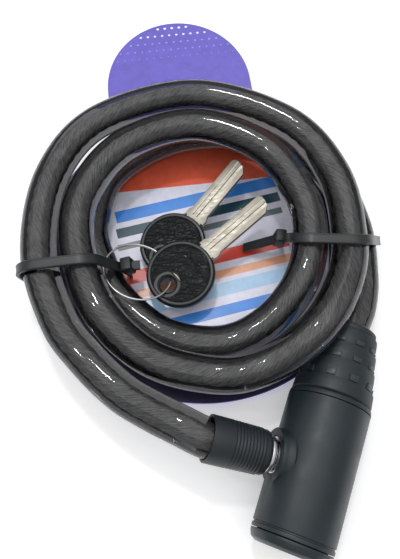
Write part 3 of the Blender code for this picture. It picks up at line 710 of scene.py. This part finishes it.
def make_ties():
    edges = [(1.5, 0.6, 0.0), (35.6, 0.6, 0.0), (35.4, 4.0, 0.0)]
    make_tie("tie_left", LEFT_TIE, edges, (35.5, 13.2), 72, (4.6, -62))
    edges = [(1.6, 0.6, 0.0), (36.4, 0.6, 0.0), (36.2, 4.0, 0.0)]
    make_tie("tie_right", RIGHT_TIE, edges, (37.2, 12.6), 80, (15.0, -44))


# ---------------------------------------------------------------- card
def arc(cx, cy, r, a0, a1, count, squash=1.0):
    """Points along an arc, in degrees."""
    return [(cx + r * math.cos(math.radians(a0 + (a1 - a0) * k / count)),
             cy + r * squash * math.sin(math.radians(a0 + (a1 - a0) * k / count)))
            for k in range(count + 1)]


def stripe(v, width, length=64.0, slope=8.0):
    """A plain slanted bar across the card's middle."""
    bar = Matrix.Rotation(math.radians(slope), 2)
    return [tuple(bar @ Vector((i * length / 2, j * width / 2)) + Vector((0, v)))
            for i, j in ((-1, -1), (1, -1), (1, 1), (-1, 1))]


def card_outline():
    right, left = TAB_U + TAB_W, TAB_U - TAB_W
    a0 = math.degrees(math.atan2(math.sqrt(CARD_R ** 2 - right ** 2), right))
    a1 = math.degrees(math.atan2(math.sqrt(CARD_R ** 2 - left ** 2), left))
    return (arc(0, 0, CARD_R, a0, a1 - 360, 120)
            + arc(TAB_U, TAB_V, TAB_W, 180, 0, 60, TAB_TOP / TAB_W))


# the indigo ink is painted shadow. It is a near-black disc over the card's round part, seen as a ring
# from the printed field out to the rim, where the coil shades the card.
INKS = {
    "indigo": (0.010, 0.006, 0.045), "purple": (0.155, 0.125, 0.60), "coral": (0.86, 0.13, 0.065),
    "paper": (0.80, 0.80, 0.95), "white": (0.93, 0.93, 0.92), "sky": (0.045, 0.27, 0.83),
    "pale_blue": (0.45, 0.68, 0.95), "grey": (0.15, 0.20, 0.21), "teal": (0.004, 0.055, 0.085),
    "red": (0.80, 0.07, 0.045), "peach": (0.86, 0.42, 0.26), "lilac": (0.42, 0.40, 0.90),
}


def make_card():
    card = plate("card", card_outline(), 0.0, CARD_T)
    hole = lathe("hole", [(0, -2), (2.0, -2), (2.0, 3), (0, 3)], 48)
    hole.data.transform(shift(0, 37.6, 0))
    combine(card, hole, "DIFFERENCE")
    for at, heading in (((-26.2, -12.4), 7.5), ((27.9, 2.2), -1.7)):
        slot = bevelled_box("slot", (-2.2, -2.6, -3), (2.2, 2.6, 5), 0)
        slot.data.transform(CARD.inverted() @ ROOT @ shift(*at, CARD_Z) @ turn_by("Z", heading))
        combine(card, slot, "DIFFERENCE")
    inks = {name: print_material("print_" + name, colour) for name, colour in INKS.items()}
    finish_piece(card, "lock_head", ["backing_card"], inks["purple"], CARD)

    # the first layer, the dark indigo disc out to the card's rim, is painted shadow of the coil on the
    # card
    art = [("indigo", arc(0, 0, CARD_R - 0.2, 0, 356, 89)), ("paper", arc(0, 0, WINDOW_R, 0, 354, 59)),
           ("coral", arc(0, 0, WINDOW_R, 33, 147, 40))]
    for ink, v, width in (("sky", 19, 5), ("teal", 12, 4), ("grey", 6, 2.5), ("red", -7, 5),
                          ("peach", -14, 3), ("pale_blue", -20, 5), ("sky", -28, 4)):
        art.append((ink, stripe(v, width)))
    layers = {}
    for number, (ink, outline) in enumerate(art):
        lift = CARD_T + 0.012 + 0.008 * number
        layers.setdefault(ink, []).append(plate("ink", outline, CARD_T - 0.05, lift))
    for row in range(5):
        size, v = 1.05 - 0.17 * row, 107.6 - 4.1 * row
        for k in range(-8, 9):
            u = (k + 0.5 * (row % 2)) * 3.15 - 0.8
            if ((u - TAB_U) / TAB_W) ** 2 + ((v - TAB_V) / TAB_TOP) ** 2 < 0.93:
                ink = "white" if row < 2 else "lilac"
                dot = arc(u, v, size * 0.62, 0, 324, 9)
                layers.setdefault(ink, []).append(plate("dot", dot, CARD_T - 0.05, CARD_T + 0.012))
    for ink, plates in layers.items():
        finish_piece(merge("ink_" + ink, plates), "lock_head", [], inks[ink], CARD)


# ---------------------------------------------------------------- keys and ring
def ring_matrix():
    normal = Vector((-RING_SLOPE[0], -RING_SLOPE[1], 1)).normalized()
    return ROOT @ shift(*RING_AT) @ normal.to_track_quat("Z", "Y").to_matrix().to_4x4()


def make_keys():
    for name, at, heading in KEYS:
        hinge = PILE @ shift(*at) @ turn_by("Z", heading)
        body, half = name + "_body", KEY_T / 2
        rim = rounded([(0, half - 0.55), (10.2, half - 0.55), (10.4, half - 0.1), (10.7, half),
                       (11.4, half), (KEY_R, half - 0.8), (KEY_R, -half + 0.8), (11.4, -half),
                       (10.7, -half), (10.4, -half + 0.1), (10.2, -half + 0.55),
                       (0, -half + 0.55)], 0.3)
        head = lathe(name + "_handle", rim, 96)
        head.data.transform(shift(KEY_HOLE_BACK, 0, 0))
        dish = [(0, 3.0), (5.3, 3.0), (3.5, 1.2), (2.7, 0.5), (2.7, -0.5), (3.5, -1.2),
                (5.3, -3.0), (0, -3.0)]
        combine(head, lathe("dish", rounded(dish, 0.3), 64), "DIFFERENCE")
        combine(head, bevelled_box("pocket", (3.7, -3.4, -1.3), (20, 3.4, 1.3), 0), "DIFFERENCE")
        finish_piece(head, body, [name + "_head"], KEY_RIM, hinge, 30)
        for side in (1, -1):
            disc = lathe("grain", [(0, half - 0.7), (10.1, half - 0.7), (10.1, half - 0.42),
                                   (9.7, half - 0.3), (0, half - 0.3)], 96)
            disc.data.transform(shift(KEY_HOLE_BACK, 0, 0))
            combine(disc, lathe("gap", [(0, -9), (4.6, -9), (4.6, 9), (0, 9)], 64), "DIFFERENCE")
            disc.name = f"{name}_grain_{'top' if side > 0 else 'under'}"
            turn = hinge @ (turn_by("X", 0) if side > 0 else turn_by("X", 180))
            finish_piece(disc, body, [], KEY_GRAIN, turn, 30)
        make_blade(name, hinge, body)


def make_blade(name, hinge, body):
    outline = [(4.0, -3.1), (17.9, -3.1), (17.9, -4.05), (20.0, -4.05), (21.4, -3.35),
               (42.2, -3.35), (44.6, -1.6), (45.3, 0.2), (45.5, 2.1), (44.3, 3.35),
               (21.4, 3.35), (20.0, 4.05), (17.9, 4.05), (17.9, 3.1), (4.0, 3.1)]
    blade = plate(name + "_bit", outline, -1.0, 1.0, 0.12)
    grooves = [(-1.5, -0.15, 0.5, 3), (0.9, 1.5, 0.7, 3), (-0.2, 1.4, -3, -0.5)]
    for low, high, z0, z1 in grooves:
        cut = bevelled_box("groove", (19.0, low, z0), (53, high, z1), 0)
        combine(blade, cut, "DIFFERENCE")
    finish_piece(blade, body, [name + "_blade"], NICKEL, hinge, 30)


def make_ring():
    """A split ring: one round wire that overlaps itself for almost half a turn."""
    wire, turns, count, start = RING_WIRE * 0.7, 1.45, 150, 200
    points = []
    for k in range(count + 1):
        angle = math.radians(start) + 2 * math.pi * turns * k / count
        height = (k / count - 0.5) * 2.1 * wire
        points.append(Vector((RING_R * math.cos(angle), RING_R * math.sin(angle), height)))
    ring = sweep("ring", points, lambda angle, distance: wire, 14)
    finish_piece(ring, "ring_body", ["key_ring"], CHROME, ring_matrix())


def dress_inner_nodes():
    """The lock's inside keeps its CAD solids, with better metal."""
    looks = {"lock_case": ZINC, "locking_bolt": ZINC, "drive_cam": ZINC, "cable_crimp": ZINC,
             "plug_crimp": ZINC, "cylinder_shell": BRASS, "rotor": BRASS, "wafer_1": BRASS,
             "wafer_2": BRASS, "wafer_3": BRASS, "wafer_4": BRASS, "rotor_clip": CHROME,
             "crimp_pin": CHROME, "cylinder_pin": CHROME}
    for node, mat in looks.items():
        for material_slot in bpy.data.objects[node].material_slots:
            material_slot.material = mat


# ---------------------------------------------------------------- stage
CAMERA_AT, CAMERA_TILT, CAMERA_LENS = (-1.12, -92.63, 190), 22.5, 36.06
FLOOR_HALF = 3000
LIGHTS = (("back", (-0.06, 0.22, 0.72), 0.045, 0.8), ("left", (-0.34, 0.04, 0.72), 0.035, 0.3),
          ("soft", (-0.1, 0.2, 1.5), 2.0, 11.0))     # name, place, size in metres, watts
DOME_STRENGTH = 0.62


def make_stage():
    camera = bpy.data.objects.new("camera", bpy.data.cameras.new("camera"))
    camera.location = (ROOT @ shift(*CAMERA_AT)).translation
    camera.rotation_euler = (math.radians(CAMERA_TILT), 0, 0)
    camera.data.lens = CAMERA_LENS
    bpy.context.scene.collection.objects.link(camera)
    bpy.context.scene.camera = camera

    corners = [(x * FLOOR_HALF, y * FLOOR_HALF, 0) for x, y in ((-1, -1), (1, -1), (1, 1), (-1, 1))]
    floor = mesh_object("floor", corners, [(0, 1, 2, 3)])
    bpy.context.scene.collection.objects.link(floor)
    white = new_material("floor", Base_Color=(0.93, 0.93, 0.94), Roughness=0.9,
                         Emission_Color=(1.0, 1.0, 1.0), Emission_Strength=0.28)
    floor.data.materials.append(white)

    for name, at, size, power in LIGHTS:
        light = bpy.data.lights.new(name, "AREA")
        light.energy, light.size = power, size
        lamp = bpy.data.objects.new(name, light)
        lamp.location = at
        lamp.rotation_euler = (-Vector(at)).to_track_quat("-Z", "Y").to_euler()
        bpy.context.scene.collection.objects.link(lamp)

    world = bpy.data.worlds.new("studio")
    bpy.context.scene.world = world
    world.use_nodes = True
    tree = world.node_tree
    coords = tree.nodes.new("ShaderNodeTexCoord")
    split = tree.nodes.new("ShaderNodeSeparateXYZ")
    ramp = tree.nodes.new("ShaderNodeValToRGB")
    low, high = ramp.color_ramp.elements
    low.position, low.color = 0.0, (0.5, 0.51, 0.53, 1)
    high.position, high.color = 0.8, (1, 1, 1, 1)
    tree.links.new(coords.outputs["Generated"], split.inputs[0])
    tree.links.new(split.outputs["Z"], ramp.inputs["Fac"])
    tree.links.new(ramp.outputs["Color"], tree.nodes["Background"].inputs["Color"])
    tree.nodes["Background"].inputs["Strength"].default_value = DOME_STRENGTH
    bpy.context.scene.view_settings.view_transform = "Standard"


make_stage()
make_cable()
make_boot()
make_housing()
make_cap()
make_plug()
make_ties()
make_card()
make_keys()
make_ring()
dress_inner_nodes()
